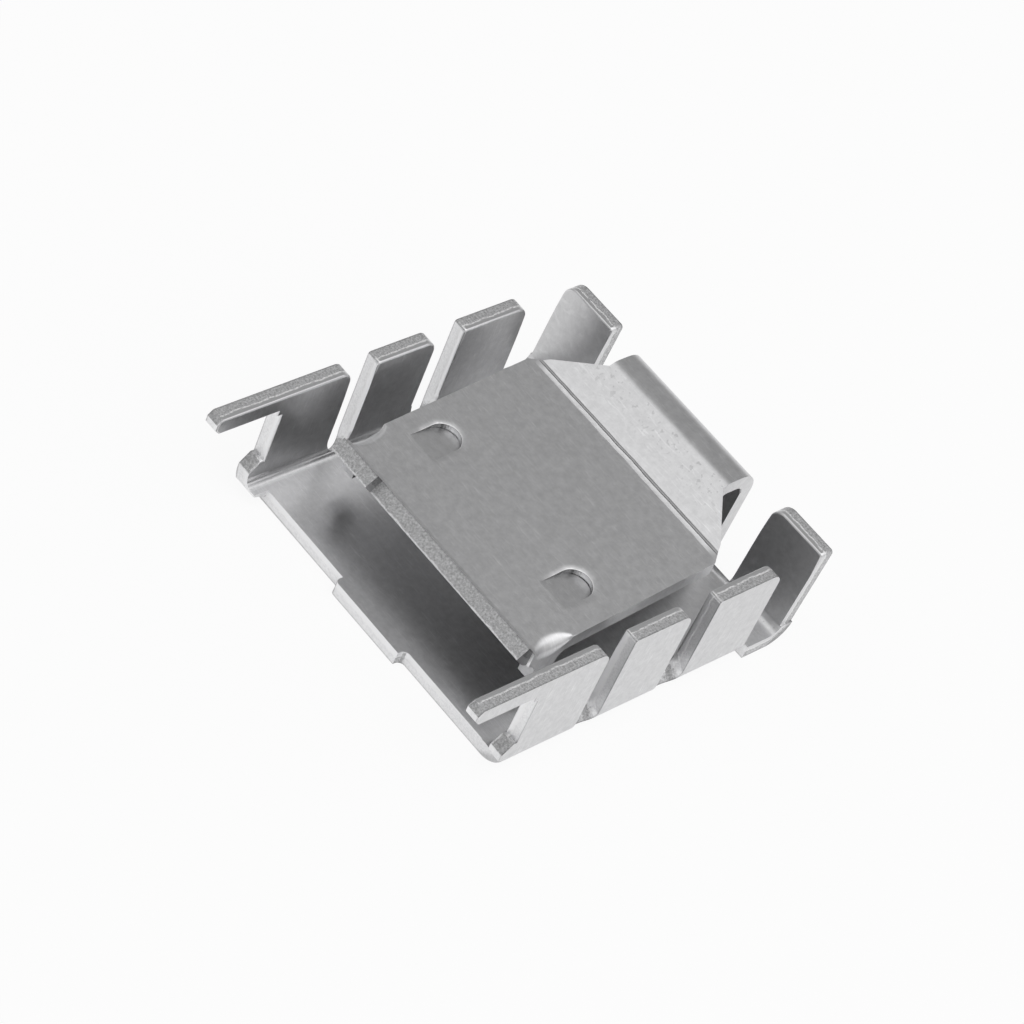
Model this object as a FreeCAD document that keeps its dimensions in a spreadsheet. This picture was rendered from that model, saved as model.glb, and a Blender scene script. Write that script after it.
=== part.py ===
import FreeCAD, Part
import math
import os
import re
import Sketcher

# A push-on heat sink for a flat-backed power transistor, folded from one piece of sheet.
# The base lies on +Z = up, with its underside at Z = 0 and its front edge, where the
# transistor goes in, towards -Y. Three fins stand on each side, the front ones with a
# forward arm each; two fins and the leg of the spring clip stand at the back. The clip
# comes over the base as a plate that presses down on the transistor.

doc = FreeCAD.newDocument("HeatSink")
sheet = doc.addObject("Spreadsheet::Sheet", "Sizes")

SIZES = [
    # The sheet and the base.
    ("sheet", 1.05, "thickness of the sheet"),
    ("bend_inside", 0.65, "inside radius of the base's bends"),
    ("base_width", 25.4, "across the side fins at their bends"),
    ("base_depth", 25.3, "front edge to the outer face of the clip's leg"),
    ("tab_reach", 0.63, "tab left on the front edge by the shear"),
    ("tab_left", 3.05, "tab's left end from the middle"),
    ("tab_right", 3.2, "tab's right end from the middle"),
    ("tab_corner", 0.35, "radius of the tab's left corner"),
    ("tab_fillet", 0.45, "radius where the tab's right end runs out"),
    ("corner_width", 25.5, "across the flat rear corners of the base"),
    ("corner_gap", 0.55, "relief between rear side fin and rear corner"),
    # The side walls, measured forwards to back from the base's front edge.
    ("wall_height", 8.32, "underside of the base to the top of the fins"),
    ("lean_left", 2.5, "outward lean of the left wall, degrees"),
    ("lean_right", -1.0, "outward lean of the right wall, degrees"),
    ("stagger", 0.56, "right wall set back from the left wall"),
    ("fin_start", 0.1, "front edge of the front fin"),
    ("front_fin", 5.45, "length of the front fin"),
    ("front_slot", 2.03, "width of the front slot"),
    ("middle_fin", 5.05, "length of the middle fin"),
    ("rear_slot", 2.33, "width of the rear slot"),
    ("rear_fin", 5.67, "length of the rear fin"),
    ("fin_lead", 0.2, "radius of the fins' front top corners"),
    ("fin_trail", 0.9, "radius of the fins' rear top corners"),
    ("arm_reach", 5.34, "arm's tip ahead of the base's front edge"),
    ("arm_height", 1.17, "height of the arm"),
    ("arm_bevel", 0.36, "bevel on the arm's tip"),
    ("arm_step", 0.35, "small step where the arm meets the fin"),
    ("arm_step_height", 0.45, "height of that step"),
    ("stub_reach", 0.86, "stub at the bend ahead of the front edge"),
    ("stub_foot_left", 0.5, "height of the left stub's underside at the front edge"),
    ("stub_chin_left", 0.9, "lower end of the left stub's front"),
    ("stub_foot_right", 1.0, "height of the right stub's underside at the front edge"),
    ("stub_chin_right", 1.6, "lower end of the right stub's front"),
    ("stub_height", 2.0, "upper end of the stub's front"),
    ("stub_root", 2.75, "height of the stub at the fin"),
    ("stub_round", 0.2, "radius of the stub's front"),
    # The back fins.
    ("back_span", 25.26, "across the outer edges of the back fins"),
    ("back_gap", 16.22, "between the inner edges of the back fins"),
    ("back_lean", 1.8, "backward lean of the back fins, degrees"),
    ("back_round", 0.95, "radius of each back fin's left top corner"),
    ("back_sharp", 0.25, "radius of each back fin's right top corner"),
    # The spring clip, in side view from the leg forwards.
    ("neck_width", 11.24, "width of the leg and the ridge"),
    ("ridge_height", 8.76, "underside of the base to the top of the ridge"),
    ("ridge_bend", 0.75, "inside radius between the leg and the ridge"),
    ("ridge_depth", 3.05, "leg's outer face to the top of the slope"),
    ("slope_bend", 0.4, "inside radius between the ridge and the slope"),
    ("slope_angle", 31.8, "fall of the slope, degrees"),
    ("slope_run", 2.88, "length of the slope seen from above"),
    ("crease_bend", 0.25, "radius on top of the crease"),
    ("plate_angle", 5.67, "fall of the plate towards its lip, degrees"),
    ("plate_run", 15.67, "length of the plate seen from above"),
    ("lip_bend", 0.35, "radius on top of the lip's bend"),
    ("lip_angle", 48.0, "upturn of the lip, degrees"),
    ("lip_length", 1.13, "length of the lip's upper face"),
    ("plate_width", 18.6, "width of the plate, and across the ears"),
    ("lip_width", 18.2, "width of the lip"),
    ("shoulder", 0.8, "crease forwards to where the plate narrows"),
    ("taper_mid_width", 16.9, "width half way along the narrowing"),
    ("taper_mid", 0.33, "crease backwards to that half way point"),
    ("taper_end", 2.5, "crease backwards to the neck"),
    ("step_left", 5.7, "left end of the lip's shallow middle"),
    ("step_right", 4.6, "right end of the lip's shallow middle"),
    ("step_depth", 1.0, "depth of the lip's shallow middle"),
    # The two ears that are folded down from the plate.
    ("ear_front", 4.28, "front edge of the ears"),
    ("ear_length", 1.76, "length of the ears"),
    ("ear_bend", 0.3, "inside radius of the ears' bends"),
    ("ear_root", 0.8, "radius of the curves that widen the ears' roots"),
    ("ear_drop", 2.7, "plate's top to the ears' lower edges"),
    # The two half-moon tongues pressed down out of the plate.
    ("tongue_left", 6.68, "middle to the left tongue's middle"),
    ("tongue_spacing", 12.92, "between the tongues' middles"),
    ("tongue_root", 7.6, "root line of the tongues"),
    ("tongue_length", 2.98, "root line to the top of the tongue's arc"),
    ("tongue_width", 2.34, "width of the tongues"),
    ("tongue_fall", 10.5, "fall of the tongues from the plate, degrees"),
]

sheet.set("A1", "size")
sheet.set("B1", "mm or degrees")
sheet.set("C1", "meaning")
for row, (alias, value, meaning) in enumerate(SIZES, start=2):
    sheet.set("A%d" % row, alias)
    sheet.set("B%d" % row, str(value))
    sheet.set("C%d" % row, meaning)
    sheet.setAlias("B%d" % row, alias)

# Sizes that follow from the ones above.
DERIVED = [
    ("bend_outside", "bend_inside + sheet", "outside radius of the base's bends"),
    ("bend_start", "base_width / 2 - bend_outside", "middle to the side bends"),
    ("bend_lap", "bend_start - bend_inside / 2", "where the walls' sections begin, inside the base"),
    ("back_bend_start", "base_depth - bend_outside", "front edge to the back bends"),
    ("fin_1_end", "fin_start + front_fin", "rear edge of the front fin"),
    ("fin_2_start", "fin_1_end + front_slot", "front edge of the middle fin"),
    ("fin_2_end", "fin_2_start + middle_fin", "rear edge of the middle fin"),
    ("fin_3_start", "fin_2_end + rear_slot", "front edge of the rear fin"),
    ("fin_3_end", "fin_3_start + rear_fin", "rear edge of the rear fin"),
    ("slope_top", "base_depth - ridge_depth", "front end of the ridge"),
    ("crease_at", "slope_top - slope_run", "crease between slope and plate"),
    ("crease_height", "ridge_height - slope_run * tan(slope_angle)", "top of the crease"),
    ("lip_at", "crease_at - plate_run", "bend between plate and lip"),
    ("lip_height", "crease_height - plate_run * tan(plate_angle)", "top of the lip's bend"),
    ("lip_end", "lip_at - lip_length * cos(lip_angle)", "end of the lip's upper face"),
    ("lip_top", "lip_height + lip_length * sin(lip_angle)", "height of that end"),
    ("taper_at", "crease_at + taper_mid", "half way point of the narrowing"),
    ("neck_at", "crease_at + taper_end", "where the plate has become the neck"),
]
first = len(SIZES) + 2
for row, (alias, formula, meaning) in enumerate(DERIVED, start=first):
    sheet.set("A%d" % row, alias)
    sheet.set("B%d" % row, "=" + formula)
    sheet.set("C%d" % row, meaning)
    sheet.setAlias("B%d" % row, alias)
NAMES = {line[0] for line in SIZES + DERIVED}
trial = doc.addObject("Spreadsheet::Sheet", "Trial")
doc.recompute()


def linked(formula):
    """Return the formula as another object writes it, with the table's name in front."""
    return re.sub(r"[a-z]\w*", lambda word: ("Sizes." if word[0] in NAMES else "") + word[0], formula)


def number(formula):
    """Return what a formula of the table's names comes to."""
    trial.set("A1", "=" + linked(formula))
    trial.recompute()
    return float(trial.get("A1"))


def bind(item, path, formula):
    """Tie one property of an object to the table."""
    item.setExpression(path, linked(formula))


def outline(sketch, corners):
    """Close a loop of straight runs through corners (across, up, radius or None)."""
    points = [FreeCAD.Vector(number(x), number(y), 0) for x, y, radius in corners]
    count = len(corners)
    enter, leave, arcs = list(points), list(points), {}
    for i, (x, y, radius) in enumerate(corners):
        if radius is None:
            continue
        before = (points[i] - points[i - 1]).normalize()
        after = (points[(i + 1) % count] - points[i]).normalize()
        turn = math.atan2(before.x * after.y - before.y * after.x, before.dot(after))
        size = number(radius)
        reach = size * math.tan(abs(turn) / 2)
        enter[i] = points[i] - before * reach
        leave[i] = points[i] + after * reach
        side = math.copysign(1.0, turn)
        middle = enter[i] + FreeCAD.Vector(-before.y, before.x, 0) * size * side
        arcs[i] = (middle, size, turn)
    lines = []
    for i in range(count):
        lines.append(sketch.addGeometry(Part.LineSegment(leave[i], enter[(i + 1) % count]), False))
    for i, (x, y, radius) in enumerate(corners):
        line_in, line_out = lines[i - 1], lines[i]
        if radius is None:
            sketch.addConstraint(Sketcher.Constraint("Coincident", line_in, 2, line_out, 1))
            corner = line_out
        else:
            middle, size, turn = arcs[i]
            ends = (enter[i], leave[i]) if turn > 0 else (leave[i], enter[i])
            angles = [math.atan2(end.y - middle.y, end.x - middle.x) for end in ends]
            circle = Part.Circle(middle, FreeCAD.Vector(0, 0, 1), size)
            if angles[1] < angles[0]:
                angles[1] += 2 * math.pi
            arc = sketch.addGeometry(Part.ArcOfCircle(circle, angles[0], angles[1]), False)
            first_end, last_end = (1, 2) if turn > 0 else (2, 1)
            sketch.addConstraint(Sketcher.Constraint("Tangent", line_in, 2, arc, first_end))
            sketch.addConstraint(Sketcher.Constraint("Tangent", arc, last_end, line_out, 1))
            rounding = sketch.addConstraint(Sketcher.Constraint("Radius", arc, size))
            bind(sketch, "Constraints[%d]" % rounding, radius)
            corner = sketch.addGeometry(Part.Point(points[i]), True)
            sketch.addConstraint(Sketcher.Constraint("PointOnObject", corner, 1, line_in))
            sketch.addConstraint(Sketcher.Constraint("PointOnObject", corner, 1, line_out))
        across = sketch.addConstraint(Sketcher.Constraint("DistanceX", -1, 1, corner, 1, points[i].x))
        bind(sketch, "Constraints[%d]" % across, x)
        up = sketch.addConstraint(Sketcher.Constraint("DistanceY", -1, 1, corner, 1, points[i].y))
        bind(sketch, "Constraints[%d]" % up, y)


body = doc.addObject("PartDesign::Body", "HeatSink")
body.Label = "heat_sink"
planes = {plane.Role: plane for plane in body.Origin.OriginFeatures}


def sketch_on(plane, name, shift=("0", "0", "0"), tilt="0"):
    """Start a sketch on an origin plane, shifted in the plane's own directions and tilted."""
    sketch = body.newObject("Sketcher::SketchObject", name)
    sketch.AttachmentSupport = (planes[plane], [""])
    sketch.MapMode = "FlatFace"
    spin = FreeCAD.Rotation(FreeCAD.Vector(1, 0, 0), number(tilt))
    sketch.AttachmentOffset = FreeCAD.Placement(FreeCAD.Vector(*map(number, shift)), spin)
    for axis, formula in zip("xyz", shift):
        if formula != "0":
            bind(sketch, "AttachmentOffset.Base." + axis, formula)
    if tilt != "0":
        bind(sketch, "AttachmentOffset.Rotation.Angle", tilt)
    return sketch


def feature(kind, name, sketch, length=None, second=None, reverse=False):
    """Pad or pocket a sketch; without a length the cut goes through everything."""
    made = body.newObject("PartDesign::" + kind, name)
    made.Profile = sketch
    made.Reversed = reverse
    if length is None:
        made.Type = "ThroughAll"
    else:
        bind(made, "Length", length)
    if second is not None:
        made.SideType = "Two sides"
        bind(made, "Length2", second)
    sketch.Visibility = False
    doc.recompute()
    return made


# The base: flat between the bends, with the sheared tab in front and two rear corners
# that stay flat beside the back fins.
base = sketch_on("XY_Plane", "base_outline")
left_corner = "fin_3_end - stagger / 2 + corner_gap"
right_corner = "fin_3_end + stagger / 2 + corner_gap"
outline(base, [
    ("-bend_start", "0", None),
    ("-tab_left", "0", None),
    ("-tab_left", "-tab_reach", "tab_corner"),
    ("tab_right", "-tab_reach", None),
    ("tab_right", "0", "tab_fillet"),
    ("bend_start", "0", None),
    ("bend_start", right_corner, None),
    ("corner_width / 2", right_corner, None),
    ("corner_width / 2", "back_bend_start", None),
    ("-corner_width / 2", "back_bend_start", None),
    ("-corner_width / 2", left_corner, None),
    ("-bend_start", left_corner, None),
])
feature("Pad", "base_plate", base, "sheet")


def side_wall(name, side, lean, shift):
    """Fold up one side wall and cut its fins, arm and stub; side is '' or '-'."""
    # The bent section, a little taller than the fins; the lean sets where the faces go.
    fan = "(1 - sin(%s)) / cos(%s)" % (lean, lean)
    foot = "(bend_start + bend_outside * %s)" % fan
    inner_foot = "(bend_start + bend_inside * %s)" % fan
    blank = "(wall_height + sheet)"
    section = sketch_on("XZ_Plane", name + "_wall_section")
    outline(section, [
        (side + "bend_lap", "0", None),
        (side + foot, "0", "bend_outside"),
        (side + "(%s + %s * tan(%s))" % (foot, blank, lean), blank, None),
        (side + "(%s + (%s - sheet) * tan(%s))" % (inner_foot, blank, lean), blank, None),
        (side + inner_foot, "sheet", "bend_inside"),
        (side + "bend_lap", "sheet", None),
    ])
    feature("Pad", name + "_wall", section, "arm_reach - (%s)" % shift, "fin_3_end + (%s)" % shift)

    # Everything punched away above and ahead of the fins, seen from the side.
    above = "wall_height + 2 * sheet"
    dip = "wall_height - fin_trail - sheet"
    along = "%s + (" + shift + ")"
    punched = sketch_on("YZ_Plane", name + "_fin_outline", ("0", "0", side + "bend_lap"))
    outline(punched, [
        (along % "-arm_reach - 2 * sheet", "-sheet", None),
        ("0", "-sheet", None),
        ("0", "stub_foot_" + name, None),
        (along % "-stub_reach", "stub_chin_" + name, None),
        (along % "-stub_reach", "stub_height", "stub_round"),
        (along % "fin_start - sheet / 4", "stub_root", None),
        (along % "fin_start", "stub_root", None),
        (along % "fin_start", "wall_height - arm_height - arm_step_height", None),
        (along % "fin_start - arm_step", "wall_height - arm_height - arm_step_height", None),
        (along % "fin_start - arm_step", "wall_height - arm_height", None),
        (along % "-arm_reach + arm_bevel", "wall_height - arm_height", None),
        (along % "-arm_reach", "wall_height - arm_height + arm_bevel", None),
        (along % "-arm_reach", "wall_height - arm_bevel", None),
        (along % "-arm_reach + arm_bevel", "wall_height", None),
        (along % "fin_1_end", "wall_height", "fin_trail"),
        (along % "fin_1_end", dip, None),
        (along % "fin_2_start", dip, None),
        (along % "fin_2_start", "wall_height", "fin_lead"),
        (along % "fin_2_end", "wall_height", "fin_trail"),
        (along % "fin_2_end", dip, None),
        (along % "fin_3_start", dip, None),
        (along % "fin_3_start", "wall_height", "fin_lead"),
        (along % "fin_3_end", "wall_height", "fin_trail"),
        (along % "fin_3_end", dip, None),
        (along % "fin_3_end + 2 * sheet", dip, None),
        (along % "fin_3_end + 2 * sheet", above, None),
        (along % "-arm_reach - 2 * sheet", above, None),
    ])
    feature("Pocket", name + "_fin_tops", punched, reverse=side == "")

    # The two slots end half way round the bend, so they are cut square to it there.
    tilt = side + "45"
    slots = sketch_on("YZ_Plane", name + "_slot_outline", tilt=tilt)
    for start, width in (("fin_1_end", "front_slot"), ("fin_2_end", "rear_slot")):
        outline(slots, [
            (along % start, "base_width / 2 / sqrt(2)", width + " / 2.02"),
            (along % (start + " + " + width), "base_width / 2 / sqrt(2)", width + " / 2.02"),
            (along % (start + " + " + width), "base_width + wall_height", None),
            (along % start, "base_width + wall_height", None),
        ])
    feature("Pocket", name + "_slots", slots, "base_width + wall_height", reverse=side == "")


side_wall("left", "-", "lean_left", "-stagger / 2")
side_wall("right", "", "lean_right", "stagger / 2")

# The wall along the back: bent up over the full width, then cut down to one fin at each
# end, with the sheet between them trimmed off half way round the bend.
back_fan = "(1 - sin(back_lean)) / cos(back_lean)"
back_foot = "(back_bend_start + bend_outside * %s)" % back_fan
back_inner_foot = "(back_bend_start + bend_inside * %s)" % back_fan
back_blank = "(wall_height + sheet)"
back = sketch_on("YZ_Plane", "back_wall_section")
outline(back, [
    ("back_bend_start - bend_inside / 2", "0", None),
    (back_foot, "0", "bend_outside"),
    ("%s + %s * tan(back_lean)" % (back_foot, back_blank), back_blank, None),
    ("%s + (%s - sheet) * tan(back_lean)" % (back_inner_foot, back_blank), back_blank, None),
    (back_inner_foot, "sheet", "bend_inside"),
    ("back_bend_start - bend_inside / 2", "sheet", None),
])
feature("Pad", "back_wall", back, "corner_width / 2", "corner_width / 2")

back_fins = sketch_on("XZ_Plane", "back_fin_outline", ("0", "0", "-back_bend_start"))
outline(back_fins, [
    ("-corner_width / 2 - sheet", "bend_outside", None),
    ("-back_span / 2", "bend_outside", None),
    ("-back_span / 2", "wall_height", "back_round"),
    ("-back_gap / 2", "wall_height", "back_sharp"),
    ("-back_gap / 2", "bend_outside", None),
    ("back_gap / 2", "bend_outside", None),
    ("back_gap / 2", "wall_height", "back_round"),
    ("back_span / 2", "wall_height", "back_sharp"),
    ("back_span / 2", "bend_outside", None),
    ("corner_width / 2 + sheet", "bend_outside", None),
    ("corner_width / 2 + sheet", "wall_height + 2 * sheet", None),
    ("-corner_width / 2 - sheet", "wall_height + 2 * sheet", None),
])
feature("Pocket", "back_fin_tops", back_fins)

between = sketch_on("XZ_Plane", "back_trim_outline", tilt="-45")
outline(between, [
    ("-back_gap / 2", "base_depth / sqrt(2)", None),
    ("back_gap / 2", "base_depth / sqrt(2)", None),
    ("back_gap / 2", "base_depth", None),
    ("-back_gap / 2", "base_depth", None),
])
feature("Pocket", "back_trim", between, "base_depth", "base_depth")

# The spring clip: one strip that rises as the leg, turns over the ridge, falls along the
# slope to a crease, runs forwards as the plate and turns up again at the lip. Each corner
# of the lower face lies one thickness inside the corner above it, along the bisector.
def inside(corner, before, after):
    """Return the lower face's corner under an upper one, from the falls of its two runs."""
    across, up = corner
    mean, half = "((%s + %s) / 2)" % (before, after), "((%s - %s) / 2)" % (before, after)
    return ("%s + sheet * sin(%s) / cos(%s)" % (across, mean, half),
            "%s - sheet * cos(%s) / cos(%s)" % (up, mean, half))


upturn = "(-lip_angle)"
upper_plate = [
    ("crease_at", "crease_height", "crease_bend"),
    ("lip_at", "lip_height", "lip_bend"),
    ("lip_end", "lip_top", None),
]
lower_plate = [
    ("lip_end - sheet * sin(lip_angle)", "lip_top - sheet * cos(lip_angle)", None),
    (*inside(("lip_at", "lip_height"), upturn, "plate_angle"), "lip_bend + sheet"),
    (*inside(("crease_at", "crease_height"), "plate_angle", "slope_angle"), "crease_bend + sheet"),
]
clip = sketch_on("YZ_Plane", "clip_section")
outline(clip, [
    ("back_bend_start - bend_inside / 2", "0", None),
    ("base_depth", "0", "bend_outside"),
    ("base_depth", "ridge_height", "ridge_bend + sheet"),
    ("slope_top", "ridge_height", "slope_bend + sheet"),
    *upper_plate,
    *lower_plate,
    (*inside(("slope_top", "ridge_height"), "slope_angle", "0"), "slope_bend"),
    ("base_depth - sheet", "ridge_height - sheet", "ridge_bend"),
    ("base_depth - sheet", "sheet", "bend_inside"),
    ("back_bend_start - bend_inside / 2", "sheet", None),
])
feature("Pad", "clip_strip", clip, "neck_width / 2", "neck_width / 2")

# The plate and the foot of the slope are wider. Seen from above they narrow in to the
# neck, and the lip is a little narrower too; these cuts start above the base.
neck_height = "(crease_height + taper_end * tan(slope_angle))"
wide = sketch_on("YZ_Plane", "plate_section")
outline(wide, [
    ("neck_at", neck_height, None),
    *upper_plate,
    *lower_plate,
    ("neck_at + sheet * sin(slope_angle)", neck_height + " - sheet * cos(slope_angle)", None),
])
feature("Pad", "plate", wide, "plate_width / 2", "plate_width / 2")
plan = sketch_on("XY_Plane", "plate_outline", ("0", "0", "bend_outside"))
for side in ("", "-"):
    outline(plan, [
        (side + "(plate_width / 2 + sheet)", "crease_at - shoulder", None),
        (side + "(plate_width / 2)", "crease_at - shoulder", None),
        (side + "(taper_mid_width / 2)", "taper_at", None),
        (side + "(neck_width / 2)", "neck_at", None),
        (side + "(neck_width / 2)", "neck_at + sheet", None),
        (side + "(plate_width / 2 + sheet)", "neck_at + sheet", None),
    ])
    outline(plan, [
        (side + "(plate_width / 2 + sheet)", "lip_end - 2 * sheet", None),
        (side + "(lip_width / 2)", "lip_end - 2 * sheet", None),
        (side + "(lip_width / 2)", "ear_front - ear_root", None),
        (side + "(plate_width / 2 + sheet)", "ear_front - ear_root", None),
    ])
feature("Pocket", "plate_narrowed", plan, reverse=True)

# The lip's middle is sheared back along the lip's own slant.
shallow = sketch_on("YZ_Plane", "lip_step_section")
kept = "(lip_length - step_depth)"
kept_at = "(lip_at - %s * cos(lip_angle) + sheet * sin(lip_angle))" % kept
kept_top = "(lip_height + %s * sin(lip_angle) + sheet * cos(lip_angle))" % kept
outline(shallow, [
    (kept_at, kept_top, None),
    (kept_at + " - 3 * sheet * sin(lip_angle)", kept_top + " - 3 * sheet * cos(lip_angle)", None),
    (kept_at + " - 3 * sheet * sin(lip_angle) - 2 * step_depth * cos(lip_angle)",
     kept_top + " - 3 * sheet * cos(lip_angle) + 2 * step_depth * sin(lip_angle)", None),
    (kept_at + " - 2 * step_depth * cos(lip_angle)",
     kept_top + " + 2 * step_depth * sin(lip_angle)", None),
])
feature("Pocket", "lip_step", shallow, "step_left", "step_right")

# The ears hang from the plate's edges, square to the plate, so their sketches tilt with it.
# Each is bent down on a root that is longer than the ear and runs out in two hollow curves,
# which are cut from the side.
ear_back = "(ear_front + ear_length)"
ear_top = "lip_height + (ear_front - ear_root - lip_at) * tan(plate_angle)"
ear_base = ("0", ear_top, "ear_root - ear_front")
ear = sketch_on("XZ_Plane", "ear_section", ear_base, tilt="plate_angle")
outline(ear, [
    ("plate_width / 2 - 2 * sheet", "-sheet / 2", None),
    ("plate_width / 2", "-sheet / 2", None),
    ("plate_width / 2", "-ear_drop", None),
    ("plate_width / 2 - sheet", "-ear_drop", None),
    ("plate_width / 2 - sheet", "-sheet", "ear_bend"),
    ("plate_width / 2 - 2 * sheet", "-sheet", None),
])
ear_pad = feature("Pad", "ear", ear, "ear_length + 2 * ear_root", reverse=True)
hollows = sketch_on("YZ_Plane", "ear_outline", ("0", "0", "plate_width / 2 - 2 * sheet"))
for edge, away in (("ear_front", "-"), (ear_back, "+")):
    under = "(lip_height + (%s %s ear_root - lip_at) * tan(plate_angle) - sheet)" % (edge, away)
    outline(hollows, [
        ("%s %s 2 * ear_root" % (edge, away), under, None),
        (edge, under, "ear_root"),
        (edge, "lip_height - ear_drop - sheet", None),
        ("%s %s 2 * ear_root" % (edge, away), "lip_height - ear_drop - sheet", None),
    ])
ear_trim = feature("Pocket", "ear_sides", hollows, "3 * sheet", reverse=True)

ear_pair = body.newObject("PartDesign::Mirrored", "ear_pair")
ear_pair.Originals = [ear_pad, ear_trim]
ear_pair.MirrorPlane = (planes["YZ_Plane"], [""])
body.Tip = ear_pair
doc.recompute()

# The tongues: each half-moon is pierced round its arc and pressed down about its root, so
# that its end stands under the plate as a stop for the transistor's tab.
tongue_base = ("0", "tongue_root", "lip_height + (tongue_root - lip_at) * tan(plate_angle)")
tongue_half = "tongue_width / 2.001"
moon = [
    ("-tongue_left - tongue_width / 2", "0", None),
    ("-tongue_left + tongue_width / 2", "0", None),
    ("-tongue_left + tongue_width / 2", "tongue_length", tongue_half),
    ("-tongue_left - tongue_width / 2", "tongue_length", tongue_half),
]
pierced = sketch_on("XY_Plane", "tongue_hole_outline", tongue_base, tilt="plate_angle")
outline(pierced, moon)
tongue_hole = feature("Pocket", "tongue_hole", pierced, "1.5 * sheet")
fall = "plate_angle - tongue_fall"
tongue = sketch_on("XY_Plane", "tongue_outline", tongue_base, tilt=fall)
outline(tongue, moon)
tongue_pad = feature("Pad", "tongue", tongue, "sheet", reverse=True)

tongue_pair = body.newObject("PartDesign::LinearPattern", "tongue_pair")
tongue_pair.Originals = [tongue_hole, tongue_pad]
tongue_pair.Direction = (planes["X_Axis"], [""])
tongue_pair.Occurrences = 2
bind(tongue_pair, "Length", "tongue_spacing")
body.Tip = tongue_pair

# The row's origin is the middle of the base's underside.
bind(body, "Placement.Base.y", "-base_depth / 2")
doc.removeObject(trial.Name)
doc.recompute()
for item in doc.Objects:
    if "Invalid" in item.State or "Error" in item.State:
        raise RuntimeError(item.Name + ": " + str(item.State))
os.makedirs("parts", exist_ok=True)
body.Shape.exportStep("parts/heat_sink.step")
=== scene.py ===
# %% [markdown]
# # A folded heat sink for a flat power transistor
# The part is a single piece of metal sheet. A press punches its outline, and a few folds turn
# it into a tray with upright fins and a sprung clip over it. The lesson keeps that order:
# take the folded shape, sort its rolled faces from its sheared edges, press and soften them,
# give each its finish, and light it as a small object on a white table.

from math import cos, hypot, pi, radians, sqrt

import bmesh
import bpy
import numpy as np
from mathutils import Euler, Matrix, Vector
from mathutils.bvhtree import BVHTree


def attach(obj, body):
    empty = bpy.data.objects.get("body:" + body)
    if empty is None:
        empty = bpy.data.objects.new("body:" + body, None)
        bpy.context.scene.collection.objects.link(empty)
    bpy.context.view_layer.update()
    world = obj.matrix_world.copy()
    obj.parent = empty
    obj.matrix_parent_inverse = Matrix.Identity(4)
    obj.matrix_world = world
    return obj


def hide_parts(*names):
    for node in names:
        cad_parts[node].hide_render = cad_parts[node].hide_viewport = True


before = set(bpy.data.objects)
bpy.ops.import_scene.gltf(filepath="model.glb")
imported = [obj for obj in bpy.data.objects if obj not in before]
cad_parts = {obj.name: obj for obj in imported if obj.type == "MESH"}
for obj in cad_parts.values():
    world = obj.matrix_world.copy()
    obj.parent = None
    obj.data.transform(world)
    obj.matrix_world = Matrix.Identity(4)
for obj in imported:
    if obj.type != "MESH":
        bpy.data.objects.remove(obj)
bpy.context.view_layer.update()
MM = 0.001

# %% [markdown]
# ## The folded sheet
# The frame's mesh is loose triangles, so a copy is welded and its flat areas are joined into
# single faces. Bends stay as narrow strips, which smooth shading turns into true curves.

# %% Weld the copy
WELD = 0.0005 * MM
STILL_FLAT = radians(0.4)

folded = bmesh.new()
folded.from_mesh(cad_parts["heat_sink"].data)
bmesh.ops.remove_doubles(folded, verts=folded.verts, dist=WELD)
bmesh.ops.dissolve_limit(folded, angle_limit=STILL_FLAT, verts=folded.verts, edges=folded.edges)
bmesh.ops.recalc_face_normals(folded, faces=folded.faces)
open_edges = [edge for edge in folded.edges if len(edge.link_faces) != 2]
print("welded:", len(folded.verts), "points,", len(folded.faces), "faces,", len(open_edges), "open edges")

# %% [markdown]
# ## Which faces were rolled and which were sheared
# A sheet has two rolled faces, and every other face was cut by the punch. They could be
# picked by hand, but a rule finds them too. Starting from the underside and from the top of
# the base, each rolled face is followed over the gentle turns of the bends, and the square
# turn at a cut stops it. What neither side reaches is a cut edge.

# %% Follow the two rolled faces
SHARP_TURN = radians(38)
LEVEL = 0.99
LARGE_AREA = (12 * MM) ** 2


def follow(start):
    """Return every face reached from one face without crossing a sharp turn."""
    reached, waiting = {start}, [start]
    while waiting:
        face = waiting.pop()
        for edge in face.edges:
            if len(edge.link_faces) == 2 and edge.calc_face_angle() < SHARP_TURN:
                for other in edge.link_faces:
                    if other not in reached:
                        reached.add(other)
                        waiting.append(other)
    return reached


def height_of(face):
    """Return the height of a face's middle."""
    return face.calc_center_median().z


large = [face for face in folded.faces if abs(face.normal.z) > LEVEL and face.calc_area() > LARGE_AREA]
underside = min(large, key=height_of)
tray_face = min((face for face in large if face.normal.z > 0), key=height_of)
outer_side = follow(underside)
inner_side = follow(tray_face)
cut_faces = [face for face in folded.faces if face not in outer_side and face not in inner_side]
shared = outer_side & inner_side
print("outer", len(outer_side), "inner", len(inner_side), "cut", len(cut_faces), "both", len(shared))

# %% [markdown]
# ## How far the press draws the plate down
# Around each half-moon the plate's edge is dragged down a little by the punch, and where an
# ear is folded under, the plate's edge is pulled into a small dome. Both are soft forms, so
# a short formula gives their depth at any point seen from above.

# %% Depth of the domes and the rims
FRONT = -25.3 / 2 * MM
PLATE_HALF = 18.6 / 2 * MM
EAR_MIDDLE = FRONT + 5.16 * MM
DOME_REACH = 1.5 * MM
DOME_ROUND = 1.0 * MM
MOON_MIDDLES = (-6.68 * MM, 6.24 * MM)
MOON_RADIUS = 1.17 * MM
MOON_ROOT = FRONT + 7.6 * MM
MOON_CENTRE = MOON_ROOT + 1.81 * MM
RIM_START = -0.02 * MM
RIM_WIDTH = 0.42 * MM
RIM_DROP = 0.048 * MM
RIM_SLOPE = 0.05


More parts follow.
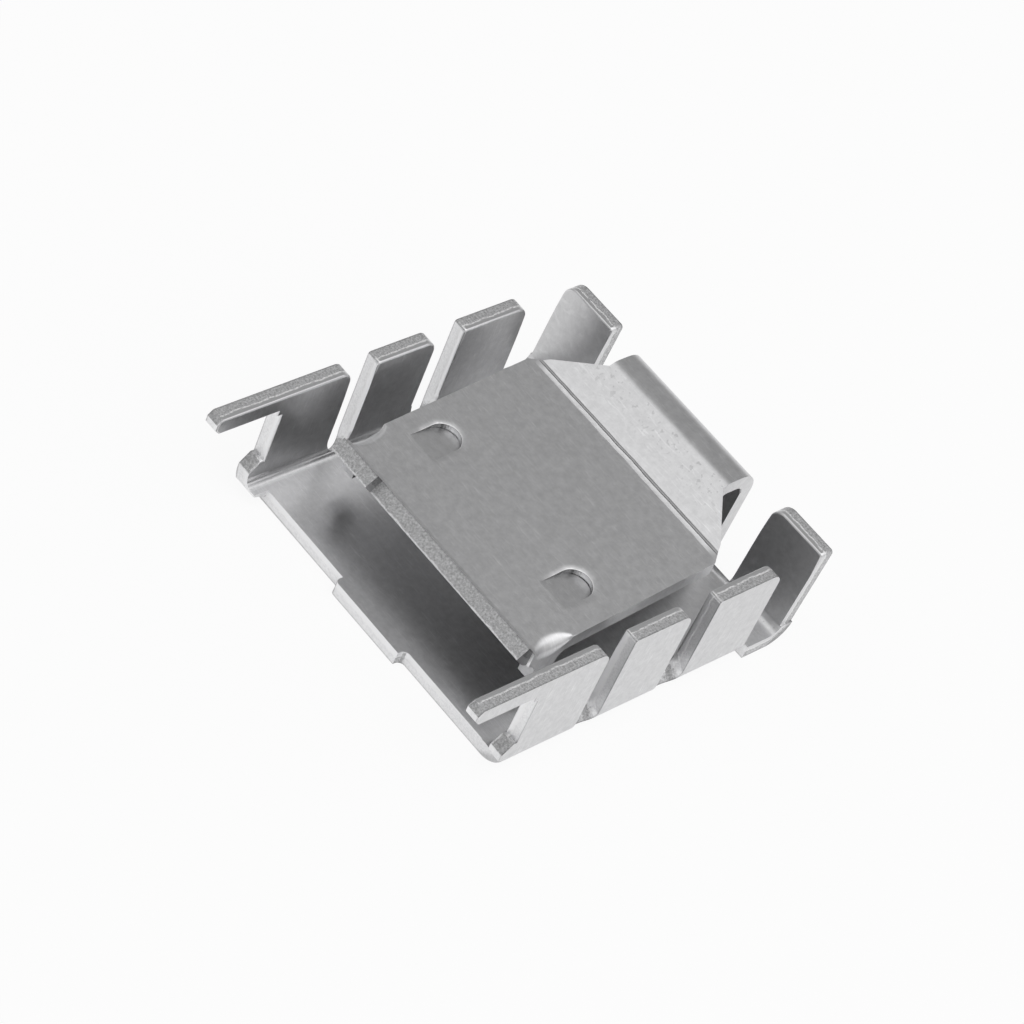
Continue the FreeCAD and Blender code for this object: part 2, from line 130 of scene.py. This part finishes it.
def round_over(inward, radius):
    """Return how far a quarter-round of that radius lies below a point near the edge."""
    if radius <= 0 or inward >= radius:
        return 0.0
    across = 1 - max(inward, 0.0) / radius
    return radius * (1 - sqrt(max(1 - across * across, 0.0)))


def press_depth(x, y):
    """Return how far the plate's top is pressed down at a point seen from above."""
    along = abs(y - EAR_MIDDLE) / DOME_REACH
    dome = DOME_ROUND * sqrt(cos(along * pi / 2)) if along < 1 else 0.0
    fall = round_over(PLATE_HALF - abs(x), dome)
    run = y - MOON_ROOT
    for middle in MOON_MIDDLES:
        outside = hypot(x - middle, max(y - MOON_CENTRE, 0.0)) - MOON_RADIUS
        if run > 0 and outside > RIM_START:
            fall += min(RIM_SLOPE * run, RIM_DROP) * max(1 - outside / RIM_WIDTH, 0.0) ** 2
    return fall


print("a dome's depth at the plate's edge in mm:", round(press_depth(PLATE_HALF, EAR_MIDDLE) / MM, 2))

# %% [markdown]
# ## Squares to press
# The welded plate has no points inside its outline to move. Dividing the whole part finely
# would cost many faces, so only the plate's top is ruled into small squares, around each
# dome and each half-moon, by slicing it along the lines of a grid.

# %% Rule the plate's top around each spot
DOME_SQUARE = 0.11 * MM
MOON_SQUARE = 0.1 * MM
AROUND = 1.8 * MM
INTO_PLATE = 1.4 * MM
PAST_EDGE = 0.05 * MM
BEFORE_ROOT = 0.1 * MM
BEYOND_ROOT = 3.6 * MM
ON_LINE = 1e-7

plate_top = max((face for face in outer_side if face.normal.z > LEVEL), key=lambda face: face.calc_area())
top_faces = {face for face in outer_side if face.normal.angle(plate_top.normal) < radians(1)}


def rule(low, high, step):
    """Rule the plate's top between two corners, seen from above, into small squares."""
    lines = [(axis, at, True) for axis in (0, 1) for at in (low[axis], high[axis])]
    lines += [(axis, at, False) for axis in (0, 1) for at in np.arange(low[axis] + step, high[axis], step)]
    for axis, at, is_border in lines:
        parts = set()
        for face in top_faces:
            x, y = [[vertex.co[i] for vertex in face.verts] for i in (0, 1)]
            inside = low[0] < sum(x) / len(x) < high[0] and low[1] < sum(y) / len(y) < high[1]
            touching = min(x) < high[0] and max(x) > low[0] and min(y) < high[1] and max(y) > low[1]
            if touching if is_border else inside:
                parts.update([face, *face.edges, *face.verts])
        normal = (1, 0, 0) if axis == 0 else (0, 1, 0)
        split = bmesh.ops.bisect_plane(folded, geom=list(parts), dist=ON_LINE,
                                       plane_co=(at, at, 0), plane_no=normal)
        top_faces.update(item for item in split["geom"] if isinstance(item, bmesh.types.BMFace))


for side in (-1, 1):
    ends = sorted((side * (PLATE_HALF - INTO_PLATE), side * (PLATE_HALF + PAST_EDGE)))
    rule((ends[0], EAR_MIDDLE - AROUND), (ends[1], EAR_MIDDLE + AROUND), DOME_SQUARE)
for middle in MOON_MIDDLES:
    near_corner = (middle - AROUND, MOON_ROOT - BEFORE_ROOT)
    far_corner = (middle + AROUND, MOON_ROOT + BEYOND_ROOT)
    rule(near_corner, far_corner, MOON_SQUARE)
print("faces on the plate's top:", sum(face.is_valid for face in top_faces))

# %% [markdown]
# ## Press
# Each point of the ruled plate goes down by the formula's depth. Points that nearly touch
# are merged first, so that no sliver is left between them.

# %% Move the ruled points down
NEARLY_TOUCHING = 0.02 * MM

ruled = {vertex for face in top_faces if face.is_valid for vertex in face.verts}
close = [vertex for vertex in ruled if press_depth(vertex.co.x, vertex.co.y) > 0]
bmesh.ops.remove_doubles(folded, verts=close, dist=NEARLY_TOUCHING)
for vertex in ruled:
    if vertex.is_valid:
        vertex.co.z -= press_depth(vertex.co.x, vertex.co.y)
folded.normal_update()
print("points in reach of a dome or a rim, before merging:", len(close))

# %% [markdown]
# ## Rulers for the thickness
# Later steps ask how far a point is from each rolled face and from the cuts. A search tree
# of each group of faces answers that quickly.


# %% Search trees of the three groups
def tree_of(faces):
    """Return a search tree of some of the faces, for measuring distances to them."""
    points = [vertex.co.copy() for vertex in folded.verts]
    return BVHTree.FromPolygons(points, [[vertex.index for vertex in face.verts]
                                         for face in faces if face.is_valid])


outer_side |= top_faces
folded.verts.index_update()
trees = {"outer": tree_of(outer_side), "inner": tree_of(inner_side), "cut": tree_of(cut_faces)}
print("faces in each group:", len(outer_side), len(inner_side), len(cut_faces))

# %% [markdown]
# ## Which edges the punch rolled over
# Punching rolls the sheet's edge over on one side and leaves a small burr on the other. On
# the fins the rolled side is the inner one, and it shows as a soft light line. Those edges
# get a full bevel weight, above the fins' feet only, so that it keeps clear of the bends.

# %% Weigh the rolled-over edges
FIN_FOOT = 2.6 * MM
SIDE_FINS = 11 * MM
BACK_FINS = 11.4 * MM

weights = folded.edges.layers.float.new("bevel_weight_edge")
rolled_over = 0
for edge in folded.edges:
    if edge.calc_face_angle() > SHARP_TURN:
        middle = (edge.verts[0].co + edge.verts[1].co) / 2
        above_foot = min(vertex.co.z for vertex in edge.verts) > FIN_FOOT
        on_fin = above_foot and (abs(middle.x) > SIDE_FINS or middle.y > BACK_FINS)
        if on_fin and any(face in inner_side for face in edge.link_faces):
            edge[weights] = 1.0
            rolled_over += 1
print("edges rolled over by the punch:", rolled_over)

# %% [markdown]
# ## Soft edges
# No sheared edge is a perfect corner, and a narrow bevel catches the light as a real one
# does. Two live bevels are stacked: a wider one by weight for the rolled-over edges, then a
# narrow one for every corner that is still sharp, held back where faces are tiny. The
# result is kept as a plain mesh, with its normals set so that the flat faces stay flat.

# %% Bevel the cut edges
ROLL_OVER = 0.14 * MM
SOFT_EDGE = 0.07 * MM


def plain(name, mesh_object):
    """Return a new object holding the mesh that another object's modifiers make."""
    graph = bpy.context.evaluated_depsgraph_get()
    mesh = bpy.data.meshes.new_from_object(mesh_object.evaluated_get(graph))
    made = bpy.data.objects.new(name, mesh)
    bpy.context.scene.collection.objects.link(made)
    bpy.data.objects.remove(mesh_object)
    return made


blank_mesh = bpy.data.meshes.new("folded blank")
folded.to_mesh(blank_mesh)
blank = bpy.data.objects.new("folded blank", blank_mesh)
bpy.context.scene.collection.objects.link(blank)
for face in blank_mesh.polygons:
    face.use_smooth = True
for title, width, segments, limit in (("rolled-over edges", ROLL_OVER, 3, "WEIGHT"),
                                      ("soft edges", SOFT_EDGE, 2, "ANGLE")):
    soften = blank.modifiers.new(title, "BEVEL")
    soften.width = width
    soften.segments = segments
    soften.limit_method = limit
    soften.angle_limit = SHARP_TURN
    soften.harden_normals = True
    soften.use_clamp_overlap = limit == "ANGLE"
weighted = blank.modifiers.new("flat faces stay flat", "WEIGHTED_NORMAL")
weighted.keep_sharp = True
body = plain("folded_sheet", blank)
print("softened:", len(body.data.vertices), "points")

# %% [markdown]
# ## Mark the cuts
# The finish of a cut differs from the rolled face, and changes through the thickness: a
# smooth band where the punch slid in, then a rough one where the metal tore. Two numbers are
# stored on the mesh for the material: whether a face is a cut, and how deep each point lies,
# from 0 on the inner side to 1 on the outer side.

# %% Store cut and depth
is_cut = []
for face in body.data.polygons:
    near = {name: tree.find_nearest(face.center)[3] for name, tree in trees.items()}
    is_cut.append(1.0 if near["cut"] < min(near["outer"], near["inner"]) else 0.0)
body.data.attributes.new("cut", "FLOAT", "FACE").data.foreach_set("value", is_cut)
depth = []
for vertex in body.data.vertices:
    outer = trees["outer"].find_nearest(vertex.co)[3]
    inner = trees["inner"].find_nearest(vertex.co)[3]
    depth.append(inner / (inner + outer))
body.data.attributes.new("depth", "FLOAT", "POINT").data.foreach_set("value", depth)
print("cut faces:", int(sum(is_cut)), "of", len(is_cut))

# %% [markdown]
# ## Tools for the finish
# A material is a tree of small nodes. One function turns a written colour into the linear
# one that shaders use. The other adds a node with its settings and links, so that each call
# below reads as one step of the recipe.


# %% Helpers for materials
def rgb(code):
    """Return a hex colour as the linear colour that shaders use."""
    parts = [int(code[i:i + 2], 16) / 255 for i in (0, 2, 4)]
    return [part / 12.92 if part <= 0.04045 else ((part + 0.055) / 1.055) ** 2.4 for part in parts] + [1.0]


def node(tree, kind, links=(), **settings):
    """Add a node, fill its sockets and settings, and link its inputs."""
    made = tree.nodes.new(kind)
    for name, value in settings.items():
        setattr(made, name, value)
    for socket, value in dict(links).items():
        if isinstance(value, bpy.types.NodeSocket):
            tree.links.new(value, made.inputs[socket])
        else:
            made.inputs[socket].default_value = value
    return made


print("middle grey as shaders use it:", [round(part, 3) for part in rgb("808080")[:3]])

# %% [markdown]
# ## The metal, and what it knows of the part
# Bright rolled sheet is nearly a mirror. Its colour is a neutral light grey, and the rest of
# the look is what it reflects. Its patterns read the object's own place, so they keep their
# true size on the part, and the way a face looks tells a front cut from a side cut.

# %% Place, direction and stored numbers
metal = bpy.data.materials.new("bright rolled sheet")
metal.use_nodes = True
tree = metal.node_tree
tree.nodes.clear()
place = node(tree, "ShaderNodeTexCoord").outputs["Object"]
x, y, z = node(tree, "ShaderNodeSeparateXYZ", {"Vector": place}).outputs
true_normal = node(tree, "ShaderNodeNewGeometry").outputs["True Normal"]
facing_x, facing_y = node(tree, "ShaderNodeSeparateXYZ", {"Vector": true_normal}).outputs[:2]
cut = node(tree, "ShaderNodeAttribute", attribute_name="cut").outputs["Fac"]
deep = node(tree, "ShaderNodeAttribute", attribute_name="depth").outputs["Fac"]
print("the finish starts with", len(tree.nodes), "nodes")

# %% [markdown]
# ## Rolled faces
# The rolled faces carry faint patches about half a millimetre across, and light scratches.
# The patches change the tone and the roughness a little. A scratch is noise squeezed thin in
# one direction and cut off high, which leaves a few short strokes, and five directions are
# laid over each other. A scale says how many of a pattern's forms fit in 1 mm.

# %% Patches and scratches
PATCHES = 1.9 / MM
SCRATCHES = ((0.35, 13.0, 0.62 / MM), (-1.0, 15.0, 0.56 / MM), (0.9, 10.0, 0.9 / MM),
             (-0.4, 11.0, 0.8 / MM), (1.6, 9.0, 1.0 / MM))

patches = node(tree, "ShaderNodeTexNoise", {
    "Vector": place, "Scale": PATCHES, "Detail": 6.0, "Roughness": 0.7}).outputs["Fac"]
face_rough = node(tree, "ShaderNodeMapRange", {
    "Value": patches, "To Min": 0.28, "To Max": 0.37}).outputs["Result"]
tones = node(tree, "ShaderNodeMapRange", {
    "Value": patches, "From Min": 0.3, "From Max": 0.7, "To Min": 0.9, "To Max": 1.08}).outputs["Result"]
for turn, thinness, scale in SCRATCHES:
    slanted = node(tree, "ShaderNodeMapping", {
        "Vector": place, "Rotation": (0.2, 0.1, turn), "Scale": (1.0, thinness, 1.0)}).outputs["Vector"]
    streaks = node(tree, "ShaderNodeTexNoise", {
        "Vector": slanted, "Scale": scale, "Detail": 3.0, "Distortion": 0.5}).outputs["Fac"]
    scratch = node(tree, "ShaderNodeMapRange", {
        "Value": streaks, "From Min": 0.63, "From Max": 0.72, "To Min": 1.0, "To Max": 1.1}).outputs["Result"]
    tones = node(tree, "ShaderNodeMath", {0: tones, 1: scratch}, operation="MULTIPLY").outputs[0]
print("scratch directions:", len(SCRATCHES))

# %% [markdown]
# ## The crease in front of the slope
# In front of the fold a bright strip and two fine dark lines show the fold's small relief.
# They are too small to be worth points of their own, so a bump tilts a narrow ledge and a
# ramp paints their shade and highlight into the colour. Noise sways the distance from the
# crease, so that nothing is ruled.

# %% Where the crease is
CREASE = 6.6 * MM
SWAY = 0.22 * MM
SWAYS = 0.42 / MM
CLIP_HEIGHT = 4.0 * MM
FULL_WITHIN = 8.0 * MM
NONE_BEYOND = 9.2 * MM

sway = node(tree, "ShaderNodeTexNoise", {
    "Vector": place, "Scale": SWAYS, "Detail": 6.0, "Roughness": 0.68}).outputs["Fac"]
swayed = node(tree, "ShaderNodeMath", {0: sway, 1: SWAY, 2: y}, operation="MULTIPLY_ADD").outputs[0]
high = node(tree, "ShaderNodeMath", {0: z, 1: CLIP_HEIGHT}, operation="GREATER_THAN").outputs[0]
aside = node(tree, "ShaderNodeMath", {0: x}, operation="ABSOLUTE").outputs[0]
between = node(tree, "ShaderNodeMapRange", {
    "Value": aside, "From Min": FULL_WITHIN, "From Max": NONE_BEYOND,
    "To Min": 1.0, "To Max": 0.0}).outputs["Result"]
there = node(tree, "ShaderNodeMath", {0: high, 1: between}, operation="MULTIPLY").outputs[0]
print("crease", round(CREASE / MM, 1), "mm behind the middle of the part")

# %% [markdown]
# ## The ledge and the two lines
# The ledge rises slowly towards the crease and drops at once behind it. The ramp of painted
# shade and highlight runs across both lines: half grey leaves the tone as it is, so its grey
# is doubled before it multiplies.

# %% Ledge and lines
LEDGE_START = CREASE - 0.36 * MM
LEDGE_TOP = CREASE - 0.02 * MM
LEDGE_END = CREASE + 0.03 * MM
LEDGE_HEIGHT = 0.08 * MM
RAMP_REACH = 0.7 * MM
CREASE_PAINTED_GREYS = ((0.3, 0.52), (0.47, 0.62), (0.5, 0.12), (0.53, 0.54), (0.6, 0.54), (0.63, 0.22), (0.66, 0.52))

rise = node(tree, "ShaderNodeMapRange", {
    "Value": swayed, "From Min": LEDGE_START, "From Max": LEDGE_TOP}).outputs["Result"]
drop = node(tree, "ShaderNodeMapRange", {
    "Value": swayed, "From Min": LEDGE_TOP, "From Max": LEDGE_END,
    "To Min": 1.0, "To Max": 0.0}).outputs["Result"]
ledge = node(tree, "ShaderNodeMath", {0: rise, 1: drop}, operation="MULTIPLY").outputs[0]
ledge_bump = node(tree, "ShaderNodeBump", {
    "Height": ledge, "Strength": there, "Distance": LEDGE_HEIGHT}).outputs["Normal"]

# Painted shade and highlight of the crease: two dark lines and a bright strip, drawn into the colour.
across = node(tree, "ShaderNodeMapRange", {
    "Value": swayed, "From Min": CREASE - RAMP_REACH, "From Max": CREASE + RAMP_REACH}).outputs["Result"]
crease_painted_ramp = node(tree, "ShaderNodeValToRGB", {"Fac": across})
for stop in crease_painted_ramp.color_ramp.elements:
    stop.color = (0.5, 0.5, 0.5, 1.0)
for position, grey in CREASE_PAINTED_GREYS:
    crease_painted_ramp.color_ramp.elements.new(position).color = (grey, grey, grey, 1.0)
doubled_painted_crease = node(tree, "ShaderNodeMath", {0: crease_painted_ramp.outputs["Color"], 1: 2.0}, operation="MULTIPLY").outputs[0]
crease_painted_light = node(tree, "ShaderNodeMix", {"Factor": there, "A": 1.0, "B": doubled_painted_crease}).outputs["Result"]
tones = node(tree, "ShaderNodeMath", {0: tones, 1: crease_painted_light}, operation="MULTIPLY").outputs[0]
print("ledge", round((LEDGE_END - LEDGE_START) / MM, 2), "mm wide")

# %% [markdown]
# ## Pits in the slope
# Where the slope was bent over the ridge it shows small dark pits, under a third of a
# millimetre across. They are noise cut off high. They darken towards the ridge and stay on
# faces that lean as the slope does, so that the back fins keep clean.

# %% Pits towards the ridge
PITS = 3.2 / MM
PITS_BEGIN = CREASE + 0.8 * MM
PITS_FULL = CREASE + 2.2 * MM
SLOPE_FACING = -0.6
SLOPE_SPREAD = 0.25

pocks = node(tree, "ShaderNodeTexNoise", {"Vector": place, "Scale": PITS, "Detail": 2.0}).outputs["Fac"]
pitted = node(tree, "ShaderNodeMapRange", {
    "Value": pocks, "From Min": 0.6, "From Max": 0.66, "To Max": 0.2}).outputs["Result"]
near_ridge = node(tree, "ShaderNodeMapRange", {
    "Value": y, "From Min": PITS_BEGIN, "From Max": PITS_FULL}).outputs["Result"]
sloping = node(tree, "ShaderNodeMath", {
    0: facing_y, 1: SLOPE_FACING, 2: SLOPE_SPREAD}, operation="COMPARE").outputs[0]
pit_share = node(tree, "ShaderNodeMath", {0: near_ridge, 1: sloping}, operation="MULTIPLY").outputs[0]
pit_depth = node(tree, "ShaderNodeMath", {0: pit_share, 1: pitted}, operation="MULTIPLY").outputs[0]
unpitted = node(tree, "ShaderNodeMath", {0: 1.0, 1: pit_depth}, operation="SUBTRACT").outputs[0]
tones = node(tree, "ShaderNodeMath", {0: tones, 1: unpitted}, operation="MULTIPLY").outputs[0]
print("pits begin", round(PITS_BEGIN / MM, 1), "mm behind the middle of the part")

# %% [markdown]
# ## Through the thickness of a cut
# A cut is smooth up to a line, and torn and speckled beyond it. The line is rougher and has a
# painted highlight. The stored depth places the line, a coarse noise bends it, and a fine one
# breaks it up. At the lip's end the torn band is wider, so the depth is shifted there.

# %% Smooth band, line and torn band
SPECKLES = 6.5 / MM
BENDS_OF_LINE = 1.5 / MM
LINE_DEPTH = 0.5
LINE_HALF = 0.05
LIP_FACING = -0.67
LIP_SPREAD = 0.15
LIP_SHIFT = 0.33

lip_end = node(tree, "ShaderNodeMath", {
    0: facing_y, 1: LIP_FACING, 2: LIP_SPREAD}, operation="COMPARE").outputs[0]
speckle = node(tree, "ShaderNodeTexNoise", {
    "Vector": place, "Scale": SPECKLES, "Detail": 5.0, "Roughness": 0.8}).outputs["Fac"]
wobble = node(tree, "ShaderNodeTexNoise", {
    "Vector": place, "Scale": BENDS_OF_LINE, "Detail": 2.0}).outputs["Fac"]
waved = node(tree, "ShaderNodeMath", {0: wobble, 1: 0.25, 2: deep}, operation="MULTIPLY_ADD").outputs[0]
shifted = node(tree, "ShaderNodeMath", {
    0: lip_end, 1: LIP_SHIFT, 2: waved}, operation="MULTIPLY_ADD").outputs[0]
torn = node(tree, "ShaderNodeMapRange", {"Value": shifted, "From Min": 0.52, "From Max": 0.6},
            interpolation_type="SMOOTHSTEP").outputs["Result"]
line = node(tree, "ShaderNodeMath", {
    0: shifted, 1: LINE_DEPTH, 2: LINE_HALF}, operation="COMPARE").outputs[0]
broken = node(tree, "ShaderNodeMath", {0: speckle, 1: 0.47}, operation="GREATER_THAN").outputs[0]
rough_line_painted_bright = node(tree, "ShaderNodeMath", {0: line, 1: broken}, operation="MULTIPLY").outputs[0]
print("the finish now has", len(tree.nodes), "nodes")

# %% [markdown]
# ## Tone of a cut
# The torn band is speckled dark and light. Cuts that look straight to the front get less
# speckle and a painted light, and the outermost edge is darker. The side cuts of the plate
# and the lip's end get painted shade.

# %% Tone of the cuts
FRONT_PAINTED_SHARE = 0.65
FRONT_PAINTED_LIGHT = 1.4
LINE_PAINTED_HIGHLIGHT = 0.35
SIDE_PAINTED_SHADE = 0.45
LIP_END_PAINTED_SHADE = -0.18

speckled = node(tree, "ShaderNodeMapRange", {
    "Value": speckle, "From Min": 0.36, "From Max": 0.62, "To Min": 0.55, "To Max": 1.12}).outputs["Result"]
banded = node(tree, "ShaderNodeMix", {"Factor": torn, "A": 1.08, "B": speckled}).outputs["Result"]
# Painted light: cuts facing the front lose most speckle and their tone is raised to a bright grey.
facing_front = node(tree, "ShaderNodeMapRange", {
    "Value": facing_y, "From Min": -0.95, "From Max": -0.85,
    "To Min": FRONT_PAINTED_SHARE, "To Max": 0.0}).outputs["Result"]
front_painted_lighter = node(tree, "ShaderNodeMix", {"Factor": facing_front, "A": banded, "B": FRONT_PAINTED_LIGHT}).outputs["Result"]
# Darker towards the outermost edge of each cut.
outer_edge_darker = node(tree, "ShaderNodeMapRange", {
    "Value": deep, "From Min": 0.9, "From Max": 0.96, "To Min": 1.0, "To Max": 0.72}).outputs["Result"]
outer_edge_darkened = node(tree, "ShaderNodeMath", {0: front_painted_lighter, 1: outer_edge_darker}, operation="MULTIPLY").outputs[0]
# Painted highlight: the tone along the line is raised.
with_painted_line_highlight = node(tree, "ShaderNodeMath", {
    0: rough_line_painted_bright, 1: LINE_PAINTED_HIGHLIGHT, 2: outer_edge_darkened}, operation="MULTIPLY_ADD").outputs[0]

sideways = node(tree, "ShaderNodeMath", {0: facing_x}, operation="ABSOLUTE").outputs[0]
ahead = node(tree, "ShaderNodeMath", {0: y, 1: CREASE}, operation="LESS_THAN").outputs[0]
on_plate = node(tree, "ShaderNodeMath", {0: ahead, 1: high}, operation="MULTIPLY").outputs[0]
side_cut = node(tree, "ShaderNodeMath", {0: sideways, 1: on_plate}, operation="MULTIPLY").outputs[0]
# Painted shade: the plate's side cuts and the lip's end are darkened.
side_painted_shade = node(tree, "ShaderNodeMapRange", {
    "Value": side_cut, "From Min": 0.6, "From Max": 0.8,
    "To Min": 1.0, "To Max": SIDE_PAINTED_SHADE}).outputs["Result"]
side_and_lip_painted_shade = node(tree, "ShaderNodeMath", {
    0: lip_end, 1: LIP_END_PAINTED_SHADE, 2: side_painted_shade}, operation="MULTIPLY_ADD").outputs[0]
cut_tone = node(tree, "ShaderNodeMath", {0: with_painted_line_highlight, 1: side_and_lip_painted_shade}, operation="MULTIPLY").outputs[0]
print("side cuts of the plate keep", SIDE_PAINTED_SHADE, "of their tone")

# %% [markdown]
# ## Join the finishes
# The stored mark chooses between the rolled face and the cut. Both are the same metal, so
# only tone and roughness change: the torn band and the bright line are rougher. The colour
# stays under full white, because metal can't send back more light than it gets. A small
# bump roughens the torn band, on top of the crease's ledge.

# %% Roughness, colour and shine
SHEET_COLOUR = rgb("E0E0E1")[:3]
BRIGHTEST = (0.97, 0.97, 0.97)
SMOOTH_GRAIN, TORN_GRAIN, FRONT_GRAIN, LINE_GRAIN = 0.3, 0.5, 0.28, 0.4
TORN_RELIEF = 0.02 * MM

grain = node(tree, "ShaderNodeMix", {"Factor": torn, "A": SMOOTH_GRAIN, "B": TORN_GRAIN}).outputs["Result"]
front_grain = node(tree, "ShaderNodeMix", {"Factor": facing_front, "A": grain, "B": FRONT_GRAIN}).outputs["Result"]
cut_rough = node(tree, "ShaderNodeMath", {
    0: rough_line_painted_bright, 1: LINE_GRAIN, 2: front_grain}, operation="MULTIPLY_ADD").outputs[0]
tone = node(tree, "ShaderNodeMix", {"Factor": cut, "A": tones, "B": cut_tone}).outputs["Result"]
rough = node(tree, "ShaderNodeMix", {"Factor": cut, "A": face_rough, "B": cut_rough}).outputs["Result"]
toned = node(tree, "ShaderNodeVectorMath", {
    0: SHEET_COLOUR, "Scale": tone}, operation="SCALE").outputs["Vector"]
colour = node(tree, "ShaderNodeVectorMath", {
    0: toned, 1: BRIGHTEST}, operation="MINIMUM").outputs["Vector"]
torn_cut = node(tree, "ShaderNodeMath", {0: torn, 1: cut}, operation="MULTIPLY").outputs[0]
torn_bump = node(tree, "ShaderNodeBump", {
    "Height": speckle, "Strength": torn_cut, "Distance": TORN_RELIEF, "Normal": ledge_bump}).outputs["Normal"]
shine = node(tree, "ShaderNodeBsdfPrincipled", {
    "Base Color": colour, "Metallic": 1.0, "Roughness": rough, "Normal": torn_bump})
node(tree, "ShaderNodeOutputMaterial", {"Surface": shine.outputs["BSDF"]})
body.data.materials.clear()
body.data.materials.append(metal)
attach(body, "root")
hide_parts("heat_sink")
print("one finish of", len(tree.nodes), "nodes, mixed by the stored cut and depth")

# %% [markdown]
# ## The table
# A small metal part shows its surroundings more than itself, and the white table is what its
# upright faces mirror. The table is matt paper with a share of its own light: most of it to
# the camera, which leaves plain white with a faint shadow, and less in mirrored rays.

# %% White table
TABLE_HALF = 1.5
SEEN_SHARE = 0.9
MIRRORED_SHARE = 0.4

table_mesh = bpy.data.meshes.new("table")
corners = [(a * TABLE_HALF, b * TABLE_HALF, 0) for a, b in ((-1, -1), (1, -1), (1, 1), (-1, 1))]
table_mesh.from_pydata(corners, [], [(0, 1, 2, 3)])
table = bpy.data.objects.new("table", table_mesh)
bpy.context.scene.collection.objects.link(table)
white = bpy.data.materials.new("white table")
white.use_nodes = True
paper = white.node_tree
paper.nodes.clear()
ray = node(paper, "ShaderNodeLightPath").outputs
mirrored = node(paper, "ShaderNodeMath", {
    0: ray["Is Glossy Ray"], 1: MIRRORED_SHARE}, operation="MULTIPLY").outputs[0]
share = node(paper, "ShaderNodeMath", {
    0: ray["Is Camera Ray"], 1: SEEN_SHARE, 2: mirrored}, operation="MULTIPLY_ADD").outputs[0]
matt = node(paper, "ShaderNodeBsdfDiffuse", {"Color": rgb("F9F9F9")}).outputs["BSDF"]
lit = node(paper, "ShaderNodeEmission", {"Color": rgb("FFFFFF"), "Strength": 1.0}).outputs["Emission"]
both = node(paper, "ShaderNodeMixShader", {0: share, 1: matt, 2: lit}).outputs["Shader"]
node(paper, "ShaderNodeOutputMaterial", {"Surface": both})
table_mesh.materials.append(white)
print("table", 2 * TABLE_HALF, "m wide")

# %% [markdown]
# ## The room
# The room brightens from the walls to a pale ceiling, which lights what tips forward. A soft
# grey patch at the back is what the level plate and the base reflect, so they read as
# mid grey although the metal is nearly white. The darker of the two counts everywhere.

# %% Ceiling and back patch
PATCH_AT = Vector((-0.42, 0.66, 0.62)).normalized()
PATCH_EDGE = cos(radians(44))
PATCH_CORE = cos(radians(20))
PATCH_GREY = 0.31
WALL_GREY = 0.48
CEILING_GREY = 0.9

world = bpy.data.worlds.new("studio")
bpy.context.scene.world = world
world.use_nodes = True
sky = world.node_tree
sky.nodes.clear()
direction = node(sky, "ShaderNodeTexCoord").outputs["Generated"]
towards = node(sky, "ShaderNodeVectorMath", {
    0: direction, 1: PATCH_AT}, operation="DOT_PRODUCT").outputs["Value"]
patch = node(sky, "ShaderNodeMapRange", {
    "Value": towards, "From Min": PATCH_EDGE, "From Max": PATCH_CORE, "To Min": 1.0, "To Max": PATCH_GREY},
    interpolation_type="SMOOTHSTEP").outputs["Result"]
up = node(sky, "ShaderNodeSeparateXYZ", {"Vector": direction}).outputs["Z"]
ceiling = node(sky, "ShaderNodeMapRange", {
    "Value": up, "From Min": 0.55, "From Max": 0.9, "To Min": WALL_GREY, "To Max": CEILING_GREY},
    interpolation_type="SMOOTHSTEP").outputs["Result"]
level = node(sky, "ShaderNodeMath", {0: patch, 1: ceiling}, operation="MINIMUM").outputs[0]
glow = node(sky, "ShaderNodeBackground", {"Color": rgb("FFFFFF"), "Strength": level}).outputs["Background"]
node(sky, "ShaderNodeOutputWorld", {"Surface": glow})
print("grey patch towards", [round(part, 2) for part in PATCH_AT])

# %% [markdown]
# ## The lamp
# One large softbox hangs over the right side, so the shadow falls to the left. It is wide
# for its distance, which keeps the shadow soft and its reflection in the metal broad.

# %% Softbox
LAMP_PLACE = (0.25, 0.04, 0.36)
LAMP_SIZE = 0.7
LAMP_WATTS = 0.7

key = bpy.data.lights.new("ceiling softbox", "AREA")
key.size = LAMP_SIZE
key.energy = LAMP_WATTS
lamp = bpy.data.objects.new("ceiling softbox", key)
lamp.location = LAMP_PLACE
lamp.rotation_euler = (Vector((0, 0, 0)) - lamp.location).to_track_quat("-Z", "Y").to_euler()
bpy.context.scene.collection.objects.link(lamp)
print("lamp", round(lamp.location.length, 2), "m from the part")

# %% [markdown]
# ## The camera
# The photograph was taken from close by with a long lens, from the right front and well
# above, with the camera rolled. Its place and turn were worked out from the part's corners.

# %% Camera
CAMERA_PLACE = (86.553 * MM, -152.237 * MM, 165.304 * MM)
CAMERA_TURN = (44.0214, -19.2820, 49.0051)
LENS = 134.893
SENSOR_WIDTH = 36
NEAREST_SEEN = 0.01

camera = bpy.data.objects.new("camera", bpy.data.cameras.new("camera"))
camera.location = CAMERA_PLACE
camera.rotation_euler = Euler([radians(angle) for angle in CAMERA_TURN])
camera.data.lens = LENS
camera.data.sensor_width = SENSOR_WIDTH
camera.data.clip_start = NEAREST_SEEN
bpy.context.scene.collection.objects.link(camera)
bpy.context.scene.camera = camera
bpy.context.scene.view_settings.view_transform = "Standard"
print("camera", round(camera.location.length / MM), "mm from the part's middle")
